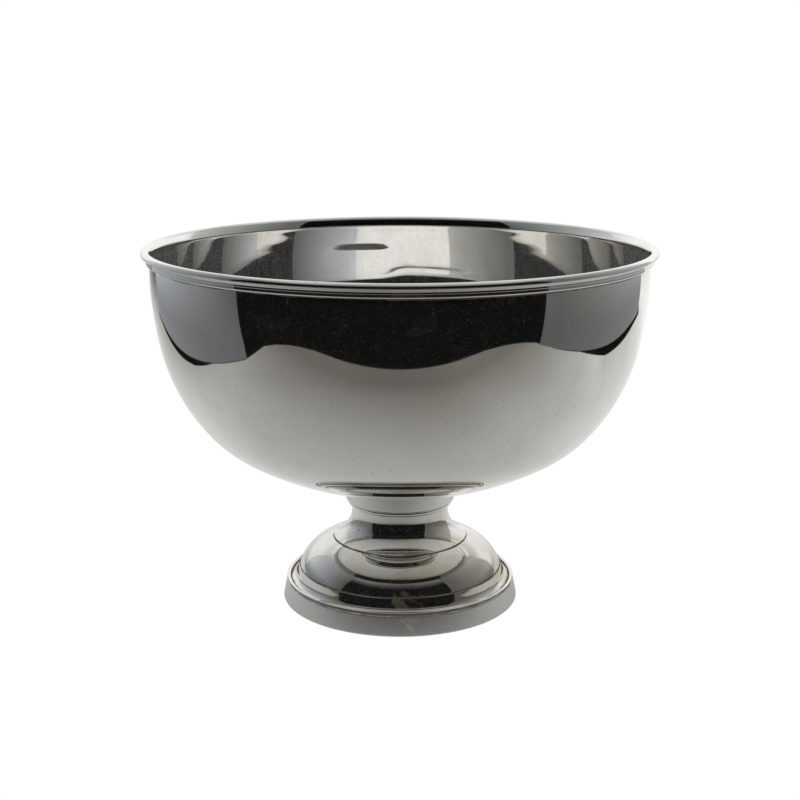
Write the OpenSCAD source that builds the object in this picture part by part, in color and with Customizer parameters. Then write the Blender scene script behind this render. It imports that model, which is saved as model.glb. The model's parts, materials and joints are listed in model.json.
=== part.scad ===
// Footed punch bowl in silver-plated sheet metal, mirror polished.
// A spun bowl with a flared, moulded rim stands on a hollow spun foot, and a
// central stud under the bowl clamps the two together.
// Everything is round about +Z. The origin is the centre of the foot, on the table.

/* [Bowl] */
// Overall diameter, across the lip
rim_d = 381.2; // [366:0.2:396]
// Height of the bowl's lowest outer point above the table
bowl_lift = 87.6; // [84:0.1:96]
// Thickness of the sheet that the bowl and foot are spun from
sheet_t = 1.2; // [0.9:0.1:1.5]
// Angle by which the wall leans in at its top
wall_lean = 2.7; // [0:0.1:4]
// Radius of the wall's slight barrel shape, seen from the side
wall_r = 215; // [200:1:240]
// Slope of the wall's lower end, from upright
wall_low = 6.8; // [6.2:0.1:8]
// Radius of the flank, which joins wall and haunch
flank_r = 400; // [300:5:450]
// Slope of the flank's lower end, from upright
flank_low = 9.9; // [9:0.1:12]
// Radius of the haunch
haunch_r = 143.2; // [138:0.2:148]
// Slope of the haunch's lower end, from upright
haunch_low = 40; // [37:0.5:43]
// Radius of the turn from the haunch into the bottom
turn_r = 94.9; // [88:0.1:102]
// Slope of the turn's lower end, from upright
turn_low = 60.3; // [57:0.1:61.5]

/* [Rim] */
// How far the lip stands out from the top of the wall
lip_reach = 6.15; // [5.6:0.05:7]
// Radius inside the gentle bend where the mouth flares out
flare_r = 16; // [12:0.5:20]
// Angle of the flare where it turns over into the rolled lip, from upright
flare_end = 24; // [16:1:30]
// Height of the plain band round the foot of the rim moulding
rim_band_h = 3; // [2.4:0.1:3.2]
// How far that band stands out from the wall
rim_band_t = 2.75; // [2.2:0.05:3.2]

/* [Knop and neck] */
// Diameter of the drum-shaped knop under the bowl
knop_d = 84; // [78:0.5:92]
// Height of the half-round bead under the knop
knop_bead_h = 4; // [3:0.1:5]
// Outer diameter of the neck at its narrowest
neck_d = 74.4; // [70:0.2:77]
// Radius of the hollow sweep from the neck out to the step
neck_sweep_r = 22.4; // [21:0.1:26]
// Diameter of the step where the neck laps over the dome
step_d = 103.2; // [100:0.2:106]
// Height of the top of that step
step_h = 49.1; // [47:0.1:51]

/* [Foot] */
// Diameter of the foot where it stands on the table
foot_d = 182.8; // [180:0.2:188]
// Height of the base band
band_h = 14.3; // [13.5:0.1:16]
// Diameter of the base band at its top edge
band_top_d = 177.6; // [177.4:0.1:178.4]
// Height of the ledge where the dome stands on the flange
ledge_h = 25.2; // [24:0.1:26]
// Slope of the dome's top, next to the step
dome_slope = 17; // [14:0.5:20]
// Radius of the dome's shallow top
dome_top_r = 62; // [55:0.5:70]
// Slope at which the dome's shoulder begins
shoulder_slope = 26.5; // [24:0.5:29]
// Radius of the dome's shoulder
shoulder_r = 35.3; // [33:0.1:36]
// Diameter of the flange's rounded ledge, just outside the dome
ledge_d = 158.4; // [158:0.1:158.6]
// Radius of the hollow moulding between ledge and brim
hollow_r = 5.8; // [5:0.1:5.8]
// Radius of the bead wire that lies on the flange
foot_bead_r = 1.3; // [1:0.1:1.3]

/* [Fixing under the bowl] */
// Thread diameter of the stud
stud_d = 8; // [6:1:8]
// Diameter of the disc that spreads the nut's pull under the neck's web
clamp_d = 60; // [45:1:64]
// Thickness of that disc
clamp_t = 2.5; // [2:0.1:3]

/* [Hidden] */
$fn = 128;

SILVER = [0.80, 0.80, 0.78];
WORN_SILVER = [0.74, 0.72, 0.67];
STEEL = [0.60, 0.61, 0.62];
BRASS = [0.72, 0.60, 0.33];

// Points on an arc of radius r about c, from angle a0 to a1 in n equal steps.
function arc(c, r, a0, a1, n) =
    [for (i = [0:n]) c + r * [cos(a0 + (a1 - a0) * i / n), sin(a0 + (a1 - a0) * i / n)]];
// The list v, last item first.
function reverse(v) = [for (i = [len(v) - 1:-1:0]) v[i]];
// Unit vector at angle a, and along v.
function dir(a) = [cos(a), sin(a)];
function unit(v) = v / norm(v);
// Points on an arc from p to q that bows out by h to the right of the line from p to q.
function bow(p, q, h, n) =
    let (v = q - p,
         half = norm(v) / 2,
         r = (half * half + h * h) / (2 * h),
         c = (p + q) / 2 + (r - h) * [-v[1], v[0]] / norm(v),
         a = atan2(p[1] - c[1], p[0] - c[0]))
    arc(c, r, a, a + 2 * asin(half / r), n);
// Lowest point, at radius x, of the circle of radius r about c.
function at_radius(c, r, x) = [x, c[1] - sqrt(r * r - (x - c[0]) * (x - c[0]))];

// --- Bowl: five arcs that run into each other, from the top of the wall to the axis
wall_top_r = rim_d / 2 - lip_reach;
bottom_edge_r = wall_top_r - wall_r * (cos(wall_lean) - cos(wall_low))
    - flank_r * (cos(wall_low) - cos(flank_low))
    - haunch_r * (cos(flank_low) - cos(haunch_low))
    - turn_r * (cos(haunch_low) - cos(turn_low));
bottom_r = bottom_edge_r / cos(turn_low);
bottom_c = [0, bowl_lift + bottom_r];
turn_c = bottom_c + (bottom_r - turn_r) * dir(-turn_low);
haunch_c = turn_c + (turn_r - haunch_r) * dir(-haunch_low);
flank_c = haunch_c + (haunch_r - flank_r) * dir(-flank_low);
wall_c = flank_c + (flank_r - wall_r) * dir(-wall_low);
arc_steps = 12;
flank_steps = 4;
turn_steps = 8;

// The bowl's skin at depth t inside its outer face, from the axis up to the top of the wall.
function bowl_skin(t) = concat(
    arc(bottom_c, bottom_r - t, -90, -turn_low, arc_steps),
    arc(turn_c, turn_r - t, -turn_low, -haunch_low, turn_steps),
    arc(haunch_c, haunch_r - t, -haunch_low, -flank_low, arc_steps),
    arc(flank_c, flank_r - t, -flank_low, -wall_low, flank_steps),
    arc(wall_c, wall_r - t, -wall_low, wall_lean, arc_steps));

// --- Lip: a gentle flare that turns over in a half-round roll
wall_top = wall_c + wall_r * dir(wall_lean);
flare_c = wall_top + (flare_r - sheet_t) * dir(wall_lean);
roll_start = 180 - flare_end;
flare_top = flare_c + flare_r * dir(roll_start);
roll_r = (rim_d / 2 - flare_top[0]) / (1 + cos(flare_end));
roll_c = flare_top - roll_r * dir(roll_start);

// The lip's skin at depth t under its upper face, from the top of the wall to the outer edge.
function lip_skin(t) = concat(
    arc(flare_c, flare_r - t, 180 + wall_lean, roll_start, 6),
    arc(roll_c, roll_r - t, roll_start, 0, arc_steps));

module bowl() {
    color(SILVER)
    rotate_extrude()
    polygon(concat(
        bowl_skin(0),
        lip_skin(sheet_t),
        reverse(lip_skin(0)),
        reverse(bowl_skin(sheet_t))));
}

// --- Rim moulding: a strip soldered on under the lip, drawn to a nose, a cavetto and a banded foot
rim_foot_h = 0.9;                 // from the moulding's lower edge up to the top of the wall
rim_nose_r = 1.2;                 // the nose carries the lip's edge on downwards
rim_nose_a = 45;                  // and turns under this far
rim_hollow_d = 0.25;              // depth of the cavetto's curve
rim_round_r = 1.3;
groove_d = 0.15;
groove_h = 0.5;
rim_low = wall_top + rim_foot_h * unit(bowl_skin(0)[len(bowl_skin(0)) - 2] - wall_top);
rim_band_r = wall_top_r + rim_band_t;
rim_band_z = rim_low[1] + rim_round_r;
nose = arc([rim_d / 2 - rim_nose_r, roll_c[1]], rim_nose_r, 0, -rim_nose_a, 4);

module rim_moulding() {
    groove_z = rim_band_z + rim_band_h / 2;
    color(SILVER)
    rotate_extrude()
    polygon(concat(
        [rim_low],
        lip_skin(sheet_t),
        nose,
        bow(nose[len(nose) - 1], [rim_band_r, rim_band_z + rim_band_h], rim_hollow_d, 6),
        [[rim_band_r, groove_z + groove_h / 2],
         [rim_band_r - groove_d, groove_z],
         [rim_band_r, groove_z - groove_h / 2]],
        arc([rim_band_r - rim_round_r, rim_band_z], rim_round_r, 0, -90, 4)));
}

// --- Heights of the stack under the bowl, downwards
knop_floor_depth = 9.5;           // from the bowl's lowest point down to the knop's underside
knop_low_z = bowl_lift - knop_floor_depth;
web_z = knop_low_z - knop_bead_h;
clamp_z = web_z - sheet_t;
washer_z = clamp_z - clamp_t;
washer_t = 2;
lock_z = washer_z - washer_t;
lock_t = 2;
nut_z = lock_z - lock_t;
nut_h = 0.8 * stud_d;
thread_gap = 0.05;
hole_r = stud_d / 2 + 0.3;        // clearance holes that the stud passes through

// --- Boss plate: a dished disc brazed to the bowl's underside
boss_t = 3;
boss_angle = 2 * (90 - turn_low) / arc_steps;

module boss_plate() {
    color(BRASS)
    rotate_extrude()
    polygon(concat(
        [[stud_d / 2, bowl_lift - boss_t],
         [bottom_r * sin(boss_angle), bowl_lift - boss_t]],
        arc(bottom_c, bottom_r, boss_angle - 90, boss_angle / 2 - 90, 1),
        [[stud_d / 2, bowl_lift + stud_d / 2 * tan(boss_angle / 4)]]));
}

// --- Stud: screwed up into the boss, its lower end just past the nut
stud_top_gap = 0.6;
stud_tail = 4;
stud_chamfer = 0.8;

module stud() {
    r = stud_d / 2 - thread_gap;
    top = bowl_lift - stud_top_gap;
    low = nut_z - nut_h - stud_tail;
    color(STEEL)
    rotate_extrude()
    polygon([[0, low], [r - stud_chamfer, low], [r, low + stud_chamfer],
             [r, top - stud_chamfer], [r - stud_chamfer, top], [0, top]]);
}

// --- Knop: a drum-shaped cup whose rim bears on the bowl's underside
knop_corner_r = 1;
function knop_rim(r) = at_radius(bottom_c, bottom_r, r);

module knop() {
    r = knop_d / 2;
    corner_c = [r - knop_corner_r, knop_low_z + knop_corner_r];
    inner_r = r - sheet_t;
    floor_z = knop_low_z + sheet_t;
    color(SILVER)
    rotate_extrude()
    polygon(concat(
        [[hole_r, knop_low_z]],
        arc(corner_c, knop_corner_r, -90, 0, 4),
        [knop_rim(r), knop_rim(inner_r),
         [inner_r, floor_z], [hole_r, floor_z]]));
}

// --- Bead between knop and neck
bead_land = 3.7;                  // flat width behind the bead's round edge

module knop_bead() {
    r = knop_bead_h / 2;
    c = [neck_d / 2 + r / 2, web_z + r];
    color(WORN_SILVER)
    rotate_extrude()
    polygon(concat(
        [[c[0] - bead_land, web_z]],
        arc(c, r, -90, 90, 8),
        [[c[0] - bead_land, web_z + knop_bead_h]]));
}

// --- Neck: a tube with a closed top that sweeps out to lap over the dome
sweep_end = acos(1 - (step_d - neck_d) / 2 / neck_sweep_r);
sweep_c = [neck_d / 2 + neck_sweep_r, step_h + neck_sweep_r * sin(sweep_end)];
lap_angle = sweep_end - 11.5;     // the lap reaches this far back under the sweep
step_low = [step_d / 2, step_h - sheet_t];
lap_in = sweep_c - (neck_sweep_r + sheet_t) * dir(lap_angle);

module neck() {
    inner_r = neck_d / 2 - sheet_t;
    color(SILVER)
    rotate_extrude()
    polygon(concat(
        [[hole_r, web_z], [neck_d / 2, web_z]],
        arc(sweep_c, neck_sweep_r, 180, 180 + sweep_end, arc_steps),
        [step_low],
        arc(sweep_c, neck_sweep_r + sheet_t, 180 + lap_angle, 180, arc_steps),
        [[inner_r, clamp_z], [hole_r, clamp_z]]));
}

// --- Dome: a shallow top and a rounder shoulder, standing on the flange's ledge
dome_top_c = step_low - dome_top_r * dir(90 - dome_slope);
shoulder_c = dome_top_c + (dome_top_r - shoulder_r) * dir(90 - shoulder_slope);
// Angle of the shoulder's lower end, on the face at depth t inside the dome.
function dome_end(t) = asin((ledge_h - shoulder_c[1]) / (shoulder_r - t));
function dome_skin(t) = concat(
    arc(dome_top_c, dome_top_r - t, 90 - dome_slope, 90 - shoulder_slope, 4),
    arc(shoulder_c, shoulder_r - t, 90 - shoulder_slope, dome_end(t), arc_steps));

module dome() {
    color(SILVER)
    rotate_extrude()
    polygon(concat(
        [lap_in],
        dome_skin(0),
        reverse(dome_skin(sheet_t)),
        [lap_in - [0, sheet_t]]));
}

// --- Flange: the dome's ledge, a hollow moulding and a flat brim
ledge_r = ledge_d / 2;
ledge_corner_r = 0.8;
ledge_in_r = ledge_r - 4.5;
ledge_corner_c = [ledge_r - ledge_corner_r, ledge_h - ledge_corner_r];
riser_lean = 12;                  // the riser between ledge and hollow leans out this far
riser_top = ledge_corner_c + ledge_corner_r * dir(riser_lean);
brim_z = band_h + sheet_t;
hollow_z = brim_z + hollow_r;
hollow_c = [riser_top[0] + hollow_r * cos(riser_lean)
            + (riser_top[1] - hollow_z + hollow_r * sin(riser_lean)) * tan(riser_lean), hollow_z];
brim_r = band_top_d / 2 - 0.5;

module foot_flange() {
    hollow_start = 180 + riser_lean;
    under = hollow_c + (hollow_r + sheet_t) * dir(hollow_start);
    color(SILVER)
    rotate_extrude()
    polygon(concat(
        [[ledge_in_r, ledge_h - sheet_t], [ledge_in_r, ledge_h]],
        arc(ledge_corner_c, ledge_corner_r, 90, riser_lean, 4),
        arc(hollow_c, hollow_r, hollow_start, 270, 8),
        [[brim_r, brim_z], [brim_r, band_h]],
        arc(hollow_c, hollow_r + sheet_t, 270, hollow_start, 8),
        [[under[0] - (ledge_h - sheet_t - under[1]) * tan(riser_lean), ledge_h - sheet_t]]));
}

// --- Bead wire on the flange's brim, flattened where it is soldered down
foot_bead_sink = 0.8;             // how far the wire's round is cut away underneath

module foot_bead() {
    c = [brim_r - foot_bead_r * 0.86, brim_z + foot_bead_r - foot_bead_sink];
    flat_a = -asin((foot_bead_r - foot_bead_sink) / foot_bead_r);
    color(SILVER)
    rotate_extrude()
    polygon(arc(c, foot_bead_r, flat_a, 180 - flat_a, 16));
}

// --- Base band: the heavy strip that the bowl stands on
band_t = 2.4;
band_top_round = 0.5;
band_foot_round = 1;

module base_band() {
    inner_r = band_top_d / 2 - band_t;
    color(SILVER)
    rotate_extrude()
    polygon(concat(
        [[inner_r, 0]],
        arc([foot_d / 2 - band_foot_round, band_foot_round], band_foot_round, -90, 0, 4),
        arc([band_top_d / 2 - band_top_round, band_h - band_top_round], band_top_round, 0, 90, 3),
        [[inner_r, band_h]]));
}

// --- Clamp disc, washers and nut, stacked under the neck's web
module ring(r_out, r_in, low_z, t) {
    translate([0, 0, low_z])
    difference() {
        cylinder(r = r_out, h = t);
        translate([0, 0, -t]) cylinder(r = r_in, h = 3 * t);
    }
}

module clamp_disc() {
    color(STEEL) ring(clamp_d / 2, hole_r, washer_z, clamp_t);
}

module flat_washer() {
    color(STEEL) ring(1.5 * stud_d, hole_r, lock_z, washer_t);
}

module lock_washer() {
    r_out = 0.925 * stud_d;
    split_w = 1.2;
    split_lean = 20;
    color(STEEL)
    difference() {
        ring(r_out, stud_d / 2 + 0.1, nut_z, lock_t);
        translate([r_out / 2, 0, nut_z + lock_t / 2])
        rotate([split_lean, 0, 0])
        cube([r_out + 1, split_w, 3 * lock_t], center = true);
    }
}

module nut() {
    across_flats = 1.625 * stud_d;
    corner_r = across_flats / 2 / cos(30);
    bevel = corner_r - across_flats / 2;
    translate([0, 0, nut_z - nut_h])
    color(STEEL)
    difference() {
        intersection() {
            cylinder(r = corner_r, h = nut_h, $fn = 6);
            rotate_extrude()
            polygon([[0, 0], [across_flats / 2, 0], [corner_r, bevel / 2],
                     [corner_r, nut_h - bevel / 2], [across_flats / 2, nut_h], [0, nut_h]]);
        }
        translate([0, 0, -nut_h]) cylinder(r = stud_d / 2, h = 3 * nut_h);
    }
}

bowl();
rim_moulding();
boss_plate();
stud();
knop();
knop_bead();
neck();
dome();
foot_flange();
foot_bead();
base_band();
clamp_disc();
flat_washer();
lock_washer();
nut();
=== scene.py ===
import json
import math

import bpy
import numpy as np
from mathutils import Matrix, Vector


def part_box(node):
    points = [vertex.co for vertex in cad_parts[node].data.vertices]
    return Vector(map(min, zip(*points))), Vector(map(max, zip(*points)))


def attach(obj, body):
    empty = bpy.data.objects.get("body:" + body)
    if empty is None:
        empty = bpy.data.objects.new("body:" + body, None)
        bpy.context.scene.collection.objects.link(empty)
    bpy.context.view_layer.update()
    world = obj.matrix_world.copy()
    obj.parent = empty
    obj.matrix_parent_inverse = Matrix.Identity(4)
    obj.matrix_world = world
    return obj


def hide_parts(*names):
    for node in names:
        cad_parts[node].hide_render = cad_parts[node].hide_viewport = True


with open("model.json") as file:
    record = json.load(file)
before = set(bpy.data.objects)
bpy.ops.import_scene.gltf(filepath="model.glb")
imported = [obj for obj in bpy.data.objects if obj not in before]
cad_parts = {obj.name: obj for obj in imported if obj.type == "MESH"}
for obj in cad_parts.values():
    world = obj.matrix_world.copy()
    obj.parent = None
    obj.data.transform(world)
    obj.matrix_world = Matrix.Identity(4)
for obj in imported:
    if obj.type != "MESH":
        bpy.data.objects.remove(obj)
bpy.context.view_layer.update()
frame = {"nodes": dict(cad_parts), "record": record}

MM = 0.001
STEPS = 512                       # divisions round a spun piece
ONE_RING = 0.02 * MM              # vertices of a CAD node this close in radius and height lie on one ring
ONE_POINT = 0.005 * MM            # points of an outline closer than this are one
AXIS = 0.001 * MM                 # a ring of less radius than this is a pole
HOLD_STRAIGHT = 30                # weight that keeps a straight edge straight
SNUG = 0.9997                     # a true circle is drawn in this much, to lie within the CAD's facets


# --- Spun pieces: the outline of each CAD node, faired and spun finely

def section(node):
    """The outline (r, z) that a CAD node is spun from, in order, in metres; open where it meets the axis."""
    mesh = frame["nodes"][node].data
    co = np.empty(len(mesh.vertices) * 3)
    mesh.vertices.foreach_get("co", co)
    co = co.reshape(-1, 3)
    rz = np.c_[np.hypot(co[:, 0], co[:, 1]), co[:, 2]]
    rings, ring_of = [], np.zeros(len(rz), int)
    for i in np.lexsort((rz[:, 1], np.round(rz[:, 0], 4))):
        for k in range(len(rings) - 1, -1, -1):
            if abs(rings[k] - rz[i]).max() < ONE_RING:
                ring_of[i] = k
                break
        else:
            ring_of[i] = len(rings)
            rings.append(rz[i])
    beside = [set() for _ in rings]
    for face in mesh.polygons:
        met = set(ring_of[list(face.vertices)].tolist())
        if len(met) == 2:
            a, b = met
            beside[a].add(b)
            beside[b].add(a)
    ends = [k for k, b in enumerate(beside) if len(b) == 1]
    path = [min(ends, key=lambda k: rings[k][1]) if ends else 0]
    while True:
        onward = [k for k in beside[path[-1]] if k not in path]
        if not onward:
            break
        path.append(min(onward, key=lambda k: rings[k][1]) if len(path) == 1 else onward[0])
    return np.array([rings[k] for k in path]), not ends


def turn_between(a, b):
    """The signed angle from direction a to direction b."""
    return math.atan2(a[0] * b[1] - a[1] * b[0], a[0] * b[0] + a[1] * b[1])


def straight_chords(spans, smooth):
    """Which chords are straight edges: those that join nothing smoothly, or outrun what they join."""
    count = len(spans)
    found = set()
    for k in range(count):
        near = [spans[(k + d) % count] for d, at in ((-1, k), (1, (k + 1) % count)) if at in smooth]
        if not near or spans[k] > 2.2 * max(near):
            found.add(k)
    return found


def arc_angles(chords, spans, smooth, straight, closed):
    """The angle of the arc that each chord stands for.

    Two arcs that meet smoothly share the turn between their chords, and curvature is otherwise even.
    """
    count = len(chords)
    rows, goal = [], []

    def say(value, *terms):
        row = np.zeros(count)
        for k, weight in terms:
            row[k % count] += weight
        rows.append(row)
        goal.append(value)

    for i, t in smooth.items():
        say(t, (i - 1, 0.5), (i, 0.5))
        say(0, (i - 1, 0.02 / spans[i - 1] * MM), (i, -0.02 / spans[i % count] * MM))
    if not closed:                # level at the axis
        say(2 * turn_between((1, 0), chords[0]), (0, 1))
        say(-2 * turn_between((-1, 0), chords[-1]), (-1, 1))
    for k in straight:
        say(0, (k, HOLD_STRAIGHT))
    return np.linalg.lstsq(np.array(rows), np.array(goal), rcond=None)[0]


def fair(points, closed, crease=26, round_off=0.18 * MM, longest=2.6 * MM, most_turn=4):
    """A fine outline through the points: arcs that join smoothly between creases, and rounded creases."""
    pts = [np.array(p) for p in points]
    while True:                   # points halfway along a straight edge say nothing about the curve
        n = len(pts)
        inner = range(n) if closed else range(1, n - 1)
        flat = [i for i in inner
                if abs(turn_between(pts[i] - pts[i - 1], pts[(i + 1) % n] - pts[i])) < math.radians(0.3)]
        if not flat:
            break
        pts = [p for i, p in enumerate(pts) if i != flat[0]]
    n = len(pts)
    if not closed:                # the outline comes to the axis square on, unless it ends on a flat face
        if pts[0][0] > 0.01 * MM:
            pts.insert(0, np.array([0.0, pts[0][1]]))
        if pts[-1][0] > 0.01 * MM:
            pts.append(np.array([0.0, pts[-1][1]]))
        n = len(pts)
    count = n if closed else n - 1
    chords = [pts[(i + 1) % n] - pts[i] for i in range(count)]
    spans = [float(np.hypot(*c)) for c in chords]
    turns = {}
    for i in range(n):
        if closed or 0 < i < n - 1:
            turns[i] = turn_between(chords[i - 1], chords[i % count])
    smooth = {i: t for i, t in turns.items() if abs(t) < math.radians(crease)}
    straight = straight_chords(spans, smooth)
    for k in straight:            # an arc leaves a straight edge at half its usual turn, or at a crease
        for i, j in ((k, k - 1), ((k + 1) % n, k + 2)):
            if i in smooth and abs(smooth[i] - turns.get(j % n, 0) / 2) > math.radians(4):
                del smooth[i]
    straight = straight_chords(spans, smooth)
    angles = arc_angles(chords, spans, smooth, straight, closed)
    out, corner_at = [], []
    for i in range(count):
        angle, span, chord = angles[i], spans[i], chords[i]
        parts = max(1, math.ceil(span / longest), math.ceil(abs(math.degrees(angle)) / most_turn))
        heading = math.atan2(chord[1], chord[0])
        if i not in smooth and i in turns:
            corner_at.append(len(out))
        for k in range(parts):
            f = k / parts
            if abs(angle) < 1e-6:
                out.append(pts[i] + f * chord)
            else:
                reach = span * math.sin(angle * f / 2) / math.sin(angle / 2)
                at = heading - angle / 2 + angle * f / 2
                out.append(pts[i] + reach * np.array([math.cos(at), math.sin(at)]))
    if not closed:
        out.append(pts[-1])
    return rounded(out, corner_at, closed, round_off)


def rounded(line, corners, closed, reach):
    """The line with each corner cut back to a small curve, and a point past each end to keep flats flat."""
    n = len(line)
    corners = set(corners)

    def toward(i, step, far):
        """The point at distance far from corner i, along the line, and how many points that passes."""
        at, left, k = line[i], far, 0
        while True:
            nxt = line[(i + step * (k + 1)) % n]
            gap = float(np.hypot(*(nxt - at)))
            if gap > left or (i + step * (k + 1)) % n in corners:
                return at + (nxt - at) * min(left / gap, 0.45), k
            at, left, k = nxt, left - gap, k + 1

    gone, inserts = set(), {}
    for i in corners:
        before, after = toward(i, -1, reach)[0], toward(i, 1, reach)[0]
        outer_b, ob = toward(i, -1, reach * 1.6)
        outer_a, oa = toward(i, 1, reach * 1.6)
        gone |= {(i - k) % n for k in range(1, ob + 1)} | {(i + k) % n for k in range(1, oa + 1)}
        curve = [(1 - f) ** 2 * before + 2 * f * (1 - f) * line[i] + f ** 2 * after
                 for f in (0, 0.17, 0.34, 0.5, 0.66, 0.83, 1)]
        inserts[i] = [outer_b] + curve + [outer_a]
    out = []
    for i in range(n):
        if i in inserts:
            out.extend(inserts[i])
        elif i not in gone:
            out.append(line[i])
    kept = [out[0]]
    for point in out[1:]:
        if np.hypot(*(point - kept[-1])) > ONE_POINT:
            kept.append(point)
    if closed and np.hypot(*(kept[-1] - kept[0])) < ONE_POINT:
        kept.pop()
    return np.array(kept)


def ripple(seed, size, waves, swirl, long=(45, 150)):
    """A smooth, slight unevenness over a spun face, in metres, as a function of angle and height."""
    pick = np.random.default_rng(seed)
    terms = []
    for _ in range(waves):
        round_n = int(pick.integers(2, swirl))
        length = pick.uniform(*long) * MM
        terms.append((round_n, 2 * math.pi / length, pick.uniform(0, 2 * math.pi, 2),
                      pick.normal() / (1 + (round_n / 6) ** 2) * length / (90 * MM)))

    def at(angle, height):
        total = 0
        for round_n, k, (a, b), high in terms:
            total = total + high * np.cos(round_n * angle + a) * np.cos(k * height + b)
        return size * total / math.sqrt(waves)

    return at


def worn_inside(angle, height):
    """How far the inside of the bowl stands off the CAD outline: a lean, one dent and a slight ripple.

    Their sizes were set from reflections; they aren't measurements of the real bowl.
    """
    z = height / MM
    back = (angle - DENT_AT) * WALL_R                      # mm round the wall from the dent's middle
    dent = np.interp(z, LEVELS, DENT) * np.clip((z - 220) / 25, 0, 1) * np.exp(-(back / 30) ** 4)
    calm = np.clip((266 - z) / 12, 0, 1) ** 2              # no ripple up under the rim moulding
    return (np.interp(z, LEVELS, SWELL) + dent) * MM + calm * (BROAD(angle, height) + FINE(angle, height))


DENT_AT = math.radians(101)       # its heading, at the back of the bowl
WALL_R = 183                      # the wall's radius there, mm
LEVEL_STEP = 0.5
LEVELS = np.arange(60, 290, LEVEL_STEP)                    # heights, mm


def summed_down(slope):
    """The offset, mm, that a slope at each of LEVELS adds up to, from the rim down."""
    return np.cumsum(slope[::-1])[::-1] * LEVEL_STEP


LEAN = np.radians(np.interp(LEVELS, [100, 186, 196, 206, 218, 225, 231, 246],
                            [-0.3, -0.3, 0.6, 1.4, 1.5, 0.4, 0, 0]))
SWELL = summed_down(np.tan(LEAN))
DENT = summed_down(np.interp(LEVELS, [245, 247, 252, 254], [0, 0.050, 0.050, 0]))
BROAD = ripple(5, 0.035 * MM, 14, 22)
FINE = ripple(9, 0.010 * MM, 40, 90, (8, 30))


def spun(name, node, uneven=None, **how):
    """A piece of sheet or wire spun round the axis to the CAD node's outline."""
    line, closed = section(node)
    line = fair(line, closed, **how)
    ahead = np.roll(line, -1, 0) - line
    back = line - np.roll(line, 1, 0)
    if not closed:
        ahead[-1], back[0] = back[-1], ahead[0]
    lie = ahead / np.hypot(*ahead.T)[:, None] + back / np.maximum(np.hypot(*back.T), 1e-9)[:, None]
    lie /= np.hypot(*lie.T)[:, None]
    out = np.c_[lie[:, 1], -lie[:, 0]]
    angle = np.linspace(0, 2 * math.pi, STEPS, endpoint=False)
    shift = np.zeros((len(line), STEPS))
    if uneven is not None:
        inside = (out[:, 0] < 0.2) & (out[:, 1] > -0.1) | (out[:, 0] < -0.5)   # faces up or to the axis
        shift = uneven(angle[None, :], line[:, 1:]) * inside[:, None]
    r = SNUG * (line[:, :1] + out[:, :1] * shift)
    z = np.maximum(line[:, 1:] + out[:, 1:] * shift, 0)    # nothing lies below the table
    co = np.stack([r * np.cos(angle), r * np.sin(angle), z], -1)
    verts, faces, first = [], [], []
    for ring, (radius, _) in zip(co, line):
        first.append((len(verts), radius < AXIS))
        if radius < AXIS:
            verts.append((0.0, 0.0, float(ring[:, 2].mean())))
        else:
            verts.extend(map(tuple, ring))
    count = len(line) if closed else len(line) - 1
    for i in range(count):
        (a, a_pole), (b, b_pole) = first[i], first[(i + 1) % len(line)]
        for j in range(STEPS):
            k = (j + 1) % STEPS
            if a_pole:
                faces.append((a, b + k, b + j))
            elif b_pole:
                faces.append((a + j, a + k, b))
            else:
                faces.append((a + j, a + k, b + k, b + j))
    mesh = bpy.data.meshes.new(name)
    mesh.from_pydata(verts, [], faces)
    mesh.polygons.foreach_set("use_smooth", [True] * len(faces))
    mesh.update()
    piece = bpy.data.objects.new(name, mesh)
    bpy.context.scene.collection.objects.link(piece)
    return piece


# --- Materials

class Shader:
    """A material's node tree, with short calls for the nodes used here."""

    def __init__(self, name):
        self.material = bpy.data.materials.new(name)
        self.material.use_nodes = True
        self.tree = self.material.node_tree
        self.tree.nodes.clear()
        self.out = self.tree.nodes.new("ShaderNodeOutputMaterial")

    def node(self, kind, inputs=(), **settings):
        made = self.tree.nodes.new("ShaderNode" + kind)
        for key, value in settings.items():
            setattr(made, key, value)
        for key, value in dict(inputs).items():
            if isinstance(value, bpy.types.NodeSocket):
                self.tree.links.new(value, made.inputs[key])
            else:
                made.inputs[key].default_value = value
        return made

    def math(self, operation, *values, clamp=False):
        return self.node("Math", enumerate(values), operation=operation, use_clamp=clamp).outputs[0]

    def span(self, value, low, high, to_low=0.0, to_high=1.0, kind="SMOOTHSTEP"):
        """value carried from the range low..high over to to_low..to_high, and held at the ends."""
        return self.node("MapRange", {0: value, 1: low, 2: high, 3: to_low, 4: to_high},
                         interpolation_type=kind, clamp=True).outputs[0]

    def blend(self, amount, a, b):
        made = self.node("Mix", data_type="RGBA")
        for key, value in ((0, amount), (6, a), (7, b)):
            if isinstance(value, bpy.types.NodeSocket):
                self.tree.links.new(value, made.inputs[key])
            else:
                made.inputs[key].default_value = value
        return made.outputs[2]

    def choose(self, amount, a, b):
        """a where amount is 0, b where it is 1."""
        return self.math("ADD", a, self.math("MULTIPLY", amount, self.math("SUBTRACT", b, a)))

    def steps(self, value, start, *rises):
        """start, plus a straight rise of height h between low and high for each (low, high, h)."""
        total = start
        for low, high, rise in rises:
            total = self.math("ADD", total, self.span(value, low, high, 0.0, rise, "LINEAR"))
        return total

    def noise(self, where, scale, detail=3.0, rough=0.5, distortion=0.0):
        return self.node("TexNoise", {"Vector": where, "Scale": scale, "Detail": detail, "Roughness": rough,
                                      "Distortion": distortion}).outputs[0]

    def finish(self, shader):
        self.tree.links.new(shader, self.out.inputs[0])
        return self.material


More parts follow.
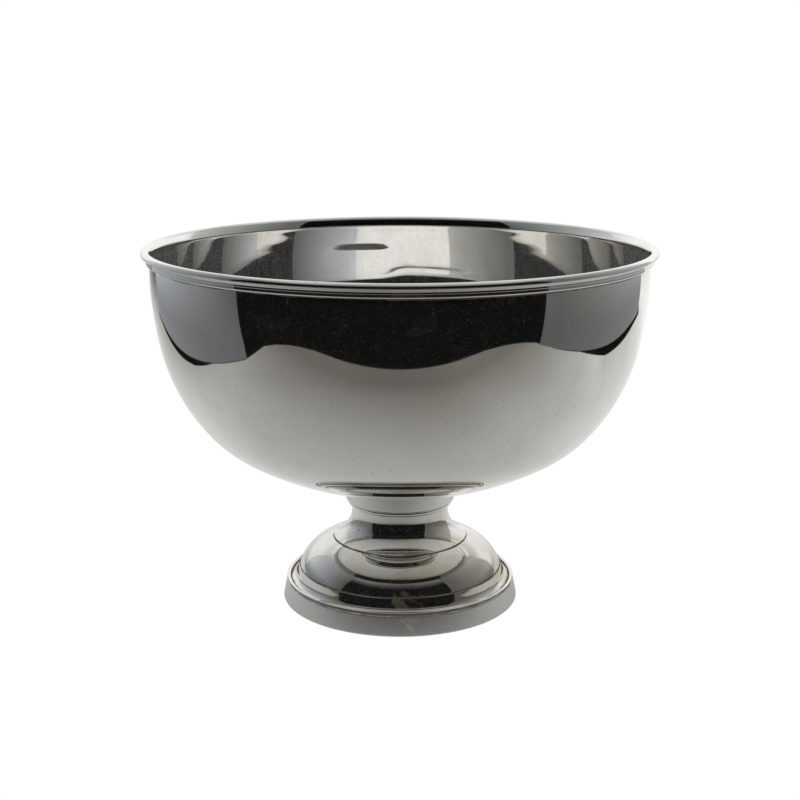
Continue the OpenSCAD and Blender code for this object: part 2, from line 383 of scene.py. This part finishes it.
def seam(a, b, reach=1.1 * MM, lowest=False):
    """The ring where two nodes' outlines meet or come nearest, and how far the dark seam line spreads there:
    dirt at the joint, darkened further as painted crease shade.

    It is the outermost such place, or the lowest.
    """
    dense = []
    for node in (a, b):
        line, closed = section(node)
        ends = np.roll(line, -1, 0) if closed else np.vstack([line[1:], line[-1:]])
        dense.append(np.vstack([line + (ends - line) * f for f in np.linspace(0, 1, 24)]))
    gap = np.hypot(*(dense[0][:, None] - dense[1][None]).transpose(2, 0, 1)).min(1)
    near = dense[0][gap < gap.min() + 0.12 * MM]
    return *map(float, near[near[:, 1].argmin() if lowest else near[:, 0].argmax()]), reach


def silver(name, seams, painted_shade_and_tarnish=1.0, gloss=0.03, haze=0.012, inside_haze=0.012, soil=0.25, mottle=0.1,
           wobble=0.0, brown=(0.875, 0.86, 0.82)):
    """Old silver plate: a mirror with a thin haze of wear, brownish blotches and specks, seams darkened by
    dirt and painted crease shade, and a base colour that the shade factor dims for tarnish and painted shade.
    """
    s = Shader(name)
    at = s.node("TexCoord").outputs["Object"]
    part = s.node("SeparateXYZ", {0: at}).outputs
    radius = s.math("SQRT", s.math("ADD", s.math("POWER", part[0], 2.0), s.math("POWER", part[1], 2.0)))
    round_x, round_y = s.math("DIVIDE", part[0], radius), s.math("DIVIDE", part[1], radius)
    up_face = s.node("CombineXYZ", {0: round_x, 1: round_y, 2: s.math("MULTIPLY", part[2], 1.2)}).outputs[0]
    streak = s.noise(up_face, 42.0, 4.0, 0.65)
    cloud = s.noise(at, 17.0, 5.0, 0.62, 0.6)
    blotch = s.noise(at, 44.0, 5.0, 0.6, 0.8)
    grain = s.noise(at, 330.0, 3.0, 0.6)
    speck = s.noise(at, 620.0, 2.0, 0.5)
    drawn_out = s.node("Mapping", {0: at, 2: (0.4, 0.3, 0.2), 3: (1.0, 0.05, 1.0)}).outputs[0]
    scratch = s.noise(drawn_out, 900.0, 2.0, 0.5)

    normal = s.node("SeparateXYZ", {0: s.node("NewGeometry").outputs["Normal"]}).outputs
    outward = s.math("ADD", s.math("MULTIPLY", normal[0], round_x), s.math("MULTIPLY", normal[1], round_y))
    inside = s.span(s.math("SUBTRACT", s.math("MULTIPLY", normal[2], 0.5), outward), -0.05, 0.05)
    inside = s.math("MULTIPLY", inside, s.span(part[2], 0.266, 0.269, 1.0, 0.0))
    inside = s.math("MULTIPLY", inside, s.math("GREATER_THAN", part[2], BOWL_LOW))

    dirt_and_crease_shade = s.math("MULTIPLY", s.span(speck, 0.64, 0.72), s.span(blotch, 0.45, 0.6, 0.0, soil))
    # painted crease shade: each seam ring gets a near-black line of grime, dirt at the joint darkened further
    # to stand for the shade in the crease; it is left off the bowl's inside faces
    for r, z, spread in seams:
        off = s.math("SQRT", s.math("ADD", s.math("POWER", s.math("SUBTRACT", radius, r), 2.0),
                                    s.math("POWER", s.math("SUBTRACT", part[2], z), 2.0)))
        reach = s.span(blotch, 0.35, 0.65, 0.6 * spread, 1.3 * spread)
        line = s.span(s.math("DIVIDE", off, reach), 0.35, 1.0, 0.92, 0.0)
        dirt_and_crease_shade = s.math("MAXIMUM", dirt_and_crease_shade, s.choose(inside, line, 0.0))

    worn = s.choose(inside, haze, s.span(streak, 0.3, 0.72, inside_haze * 0.55, inside_haze * 1.5))
    for mark, outside_amount, inside_amount in ((s.span(grain, 0.5, 0.75), haze * 0.8, inside_haze * 0.7),
                                                (s.span(scratch, 0.60, 0.70), haze * 4, inside_haze * 1.6)):
        worn = s.math("ADD", worn, s.math("MULTIPLY", mark, s.choose(inside, outside_amount, inside_amount)))
    worn = s.math("ADD", worn, s.math("MULTIPLY", s.span(blotch, 0.55, 0.72), mottle))
    # the base colour is dimmed by the shade factor: tarnish, and painted shade where the foot and band
    # reflect darker surroundings
    tint = s.blend(s.span(cloud, 0.42, 0.66, 0.0, 1.0), tuple(painted_shade_and_tarnish * c for c in (0.915, 0.91, 0.89)) + (1,),
                   tuple(painted_shade_and_tarnish * c for c in brown) + (1,))
    rough = s.math("ADD", gloss, s.math("MULTIPLY", s.span(cloud, 0.45, 0.75), 0.5 * gloss + 0.01))
    how = {"Base Color": tint, "Metallic": 1.0, "Roughness": rough}
    if wobble:
        swell = s.noise(at, 26.0, 3.0, 0.5)
        how["Normal"] = s.node("Bump", {"Strength": 0.3, "Distance": wobble, "Height": swell}).outputs[0]
    mirror = s.node("BsdfPrincipled", how).outputs[0]
    tarnish = s.blend(s.span(blotch, 0.45, 0.7), (0.52, 0.52, 0.51, 1), (0.44, 0.39, 0.31, 1))
    film = s.node("BsdfDiffuse", {0: tarnish}).outputs[0]
    # near-black grime, used for the dirt specks and for the painted crease shade along the seams
    grime_and_crease_shade = s.node("BsdfPrincipled", {"Base Color": (0.055, 0.042, 0.03, 1), "Metallic": 0.0,
                                      "Roughness": 0.6}).outputs[0]
    shader = s.node("MixShader", {0: worn, 1: mirror, 2: film}).outputs[0]
    return s.finish(s.node("MixShader", {0: dirt_and_crease_shade, 1: shader, 2: grime_and_crease_shade}).outputs[0])


def plain(name, colour, metallic, rough):
    s = Shader(name)
    at = s.node("TexCoord").outputs["Object"]
    grain = s.noise(at, 160.0, 4.0, 0.65)
    worn = s.blend(s.span(grain, 0.4, 0.7), (*colour, 1), (*[c * 0.7 for c in colour], 1))
    bump = s.node("Bump", {"Strength": 0.25, "Distance": 0.0002, "Height": grain}).outputs[0]
    shader = s.node("BsdfPrincipled", {"Base Color": worn, "Metallic": metallic, "Normal": bump,
                                       "Roughness": s.span(grain, 0.3, 0.7, rough * 0.8, rough * 1.25)})
    return s.finish(shader.outputs[0])


# --- The object

BOWL_LOW = 0.0875                 # the inside of the bowl lies above this height
BOWL_SEAMS = [seam("rim_moulding", "bowl", 1.4 * MM, lowest=True), seam("knop", "bowl", 1.9 * MM)]
FOOT_SEAMS = [seam(*pair) for pair in (("knop", "knop_bead"), ("knop_bead", "neck"), ("neck", "dome"),
                                       ("dome", "foot_flange"), ("foot_bead", "base_band", 1.4 * MM))]
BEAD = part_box("foot_bead")
BRIM = (BEAD[1].x - 1.4 * (BEAD[1].z - BEAD[0].z), BEAD[0].z, 2.6 * MM)      # painted shade at the bead's inner foot: a dark ring standing for the dark reflection the brim shows there
LOOKS = {
    "silver_bowl": silver("silver_bowl", BOWL_SEAMS, haze=0.006, inside_haze=0.055, soil=0.5, mottle=0.012),
    "silver_mount": silver("silver_mount", BOWL_SEAMS + FOOT_SEAMS, painted_shade_and_tarnish=0.95, haze=0.012, mottle=0.04),
    # the foot's base colour is dimmed: tarnish, together with painted shade for the darker reflections of the
    # bowl's underside
    "silver_foot": silver("silver_foot", FOOT_SEAMS + [BRIM], painted_shade_and_tarnish=0.84, haze=0.015, soil=0.8, mottle=0.12,
                          wobble=0.0006, brown=(0.80, 0.74, 0.63)),
    # the band's base colour is dimmed as painted shade, standing for the table's darker contact shadow seen
    # in it
    "silver_band": silver("silver_band", FOOT_SEAMS[-1:], painted_shade_and_tarnish=0.72, gloss=0.26, haze=0.04, soil=0.6,
                          mottle=0.14),
    "brass": plain("brass", (0.62, 0.47, 0.22), 1.0, 0.35),
    "zinc_steel": plain("zinc_steel", (0.55, 0.55, 0.56), 1.0, 0.38),
}
slot_of = {p["node"]: p["material_slot"] for p in frame["record"]["subparts"]}
SPUN = ["bowl", "rim_moulding", "knop", "knop_bead", "neck", "dome", "foot_flange", "foot_bead", "base_band"]
for node in SPUN:
    piece = spun("spun_" + node, node, worn_inside if node == "bowl" else None)
    piece.data.materials.append(LOOKS[slot_of[node]])
    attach(piece, "root")
    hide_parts(node)
for node, cad in frame["nodes"].items():
    if node not in SPUN:
        cad.data.materials.clear()
        cad.data.materials.append(LOOKS[slot_of[node]])


# --- The studio: what the mirror sees is apart from what the camera sees

def show(obj, camera=False, glossy=False, diffuse=False):
    obj.visible_camera = camera
    obj.visible_glossy = glossy
    obj.visible_diffuse = diffuse
    obj.visible_transmission = False
    obj.visible_shadow = False
    return obj


def card(name, corners, material, **seen):
    mesh = bpy.data.meshes.new(name)
    mesh.from_pydata(corners, [], [list(range(len(corners)))])
    mesh.materials.append(material)
    obj = bpy.data.objects.new(name, mesh)
    bpy.context.scene.collection.objects.link(obj)
    return show(obj, **seen)


def glow(name, build):
    """An emitting material whose colour and strength build(shader, x, y, z) gives."""
    s = Shader(name)
    part = s.node("SeparateXYZ", {0: s.node("TexCoord").outputs["Object"]}).outputs
    colour, strength = build(s, part[0], part[1], part[2])
    return s.finish(s.node("Emission", {"Color": colour, "Strength": strength}).outputs[0])


def table_light(s, x, y, z):
    """A grey table: dim towards the camera, bright under the backdrop, and darker to either side."""
    centre = s.steps(y, 0.13, (-0.5, -0.3, 0.13), (-0.3, -0.1, 0.16), (-0.1, 0.12, 0.28), (0.12, 0.9, 0.28))
    fall_left = s.steps(y, 2.0, (-0.45, 0.1, -3.8), (0.1, 1.0, 0.5))
    fall_right = s.steps(y, 5.0, (-0.45, 0.1, -5.8), (0.1, 1.0, 0.7))
    fall = s.choose(s.math("GREATER_THAN", x, 0.0), fall_left, fall_right)
    across = s.math("POWER", x, 2.0)
    across = s.choose(s.math("GREATER_THAN", fall, 0.0), across, s.math("MINIMUM", across, 0.05))
    side = s.math("POWER", math.e, s.math("MULTIPLY", across, fall))
    colour = s.blend(s.span(y, -0.6, -0.1), (1.0, 0.94, 0.85, 1), (1.0, 1.0, 0.98, 1))
    return colour, s.math("MULTIPLY", centre, side)


def panel_light(tint, near, far, top_near, top_far):
    """A board beside the table: near and far are its brightness low down, at its front and back ends."""
    def build(s, x, y, z):
        low = s.span(y, -0.3, 0.7, near, far, "LINEAR")
        high = s.span(y, -0.3, 0.65, top_near, top_far, "LINEAR")
        top = s.span(y, -0.3, 0.65, 0.13, 0.5, "LINEAR")
        below = s.choose(s.span(z, 0.05, 0.26), low, high)
        return (*tint, 1), s.choose(s.span(z, 0.32, 0.75), below, top)
    return build


def room_light(s, x, y, z):
    """The rest of the studio, by direction: black round the camera, a dim ceiling, a bright backdrop."""
    flat = s.math("ADD", s.math("POWER", x, 2.0), s.math("POWER", y, 2.0))
    far = s.math("SQRT", s.math("ADD", flat, s.math("POWER", z, 2.0)))
    ny, nz = s.math("DIVIDE", y, far), s.math("DIVIDE", z, far)
    round_back = s.math("DIVIDE", y, s.math("SQRT", flat))
    ceiling = s.steps(ny, 0.03, (-0.85, -0.1, 0.37), (-0.1, 0.8, 0.36))
    lit = s.math("MAXIMUM", s.span(nz, 0.60, 0.84, 0.01, 1.0), s.span(ny, 0.3, 0.7))
    ceiling = s.math("MULTIPLY", ceiling, lit)
    right = s.span(x, -0.6, 0.6)
    low = s.choose(right, s.steps(round_back, 0.42, (0.72, 0.97, 0.35)),
                   s.steps(round_back, 0.40, (0.72, 0.97, 0.60)))
    mid = s.choose(right, s.steps(round_back, 0.46, (0.4, 0.85, 0.50)),
                   s.steps(round_back, 0.60, (0.35, 0.7, 0.38)))
    backdrop = s.choose(s.span(nz, -0.02, 0.2), low, mid)
    where = s.math("MULTIPLY", s.span(round_back, 0.45, 0.70), s.span(nz, 0.40, 0.56, 1.0, 0.0))
    return (1.0, 1.0, 0.99, 1), s.choose(where, ceiling, backdrop)


TABLE = [(-0.29, -0.576), (-0.38, -0.57), (-0.46, -0.551), (-0.52, -0.52), (-0.565, -0.47), (-0.59, -0.40),
         (-0.57, -0.26), (-0.612, -0.05), (-0.60, 0.10), (-0.77, 0.80), (-3.2, 2.2), (3.2, 2.2), (0.84, 0.75),
         (0.665, 0.10), (0.668, -0.12), (0.63, -0.30), (0.62, -0.42), (0.59, -0.475), (0.54, -0.52),
         (0.475, -0.551), (0.39, -0.57), (0.30, -0.576)]
card("mirror_table", [(x, y, -0.001) for x, y in reversed(TABLE)], glow("table_light", table_light),
     glossy=True)
card("panel_left", [(-0.57, -0.27, 0), (-0.78, 0.78, 0), (-0.78, 0.78, 1.2), (-0.57, -0.27, 1.2)],
     glow("panel_left_light", panel_light((0.94, 0.99, 1.04), 0.11, 0.29, 0.07, 0.66)), glossy=True)
card("panel_right", [(0.61, -0.385, 0), (0.87, 0.72, 0), (0.87, 0.72, 1.2), (0.61, -0.385, 1.2)],
     glow("panel_right_light", panel_light((0.99, 1.0, 0.98), 0.10, 0.25, 0.12, 0.49)), glossy=True)


def dome_room(name, radius, material, **seen):
    around, levels = 48, 20
    bearings = np.linspace(0, 2 * math.pi, around, endpoint=False)
    verts = [(radius * math.cos(e) * math.cos(a), radius * math.cos(e) * math.sin(a),
              radius * math.sin(e) - 0.01)
             for e in np.linspace(-0.02, 1.5, levels) for a in bearings]
    top, last = len(verts), (levels - 1) * around
    verts.append((0, 0, radius))
    faces = []
    for i in range(levels - 1):
        low, high = i * around, (i + 1) * around
        faces += [(low + j, low + (j + 1) % around, high + (j + 1) % around, high + j) for j in range(around)]
    faces += [(last + j, last + (j + 1) % around, top) for j in range(around)]
    mesh = bpy.data.meshes.new(name)
    mesh.from_pydata(verts, [], faces)
    mesh.materials.append(material)
    obj = bpy.data.objects.new(name, mesh)
    bpy.context.scene.collection.objects.link(obj)
    return show(obj, **seen)


dome_room("mirror_room", 3.0, glow("room_light", room_light), glossy=True)
white = glow("white", lambda s, x, y, z: ((1, 1, 1, 1), 1.0))
dome_room("white_room", 4.0, white, camera=True, diffuse=True)
card("white_floor", [(-4, -4, -0.0005), (4, -4, -0.0005), (4, 4, -0.0005), (-4, 4, -0.0005)], white,
     camera=True, diffuse=True)

world = bpy.data.worlds.new("World")
bpy.context.scene.world = world
world.use_nodes = True
world.node_tree.nodes["Background"].inputs[0].default_value = (0.002, 0.002, 0.002, 1)

CAMERA_AT = (0, -1.0257, 0.4077)
CAMERA_DOWN = 13.8145             # how far below level it looks, degrees
camera = bpy.data.objects.new("camera", bpy.data.cameras.new("camera"))
camera.data.lens = 62.10
camera.data.sensor_width = 36
camera.location = CAMERA_AT
camera.rotation_euler = (math.radians(90 - CAMERA_DOWN), 0, 0)
bpy.context.scene.collection.objects.link(camera)
bpy.context.scene.camera = camera
bpy.context.scene.view_settings.view_transform = "Standard"
bpy.context.scene.view_settings.look = "None"
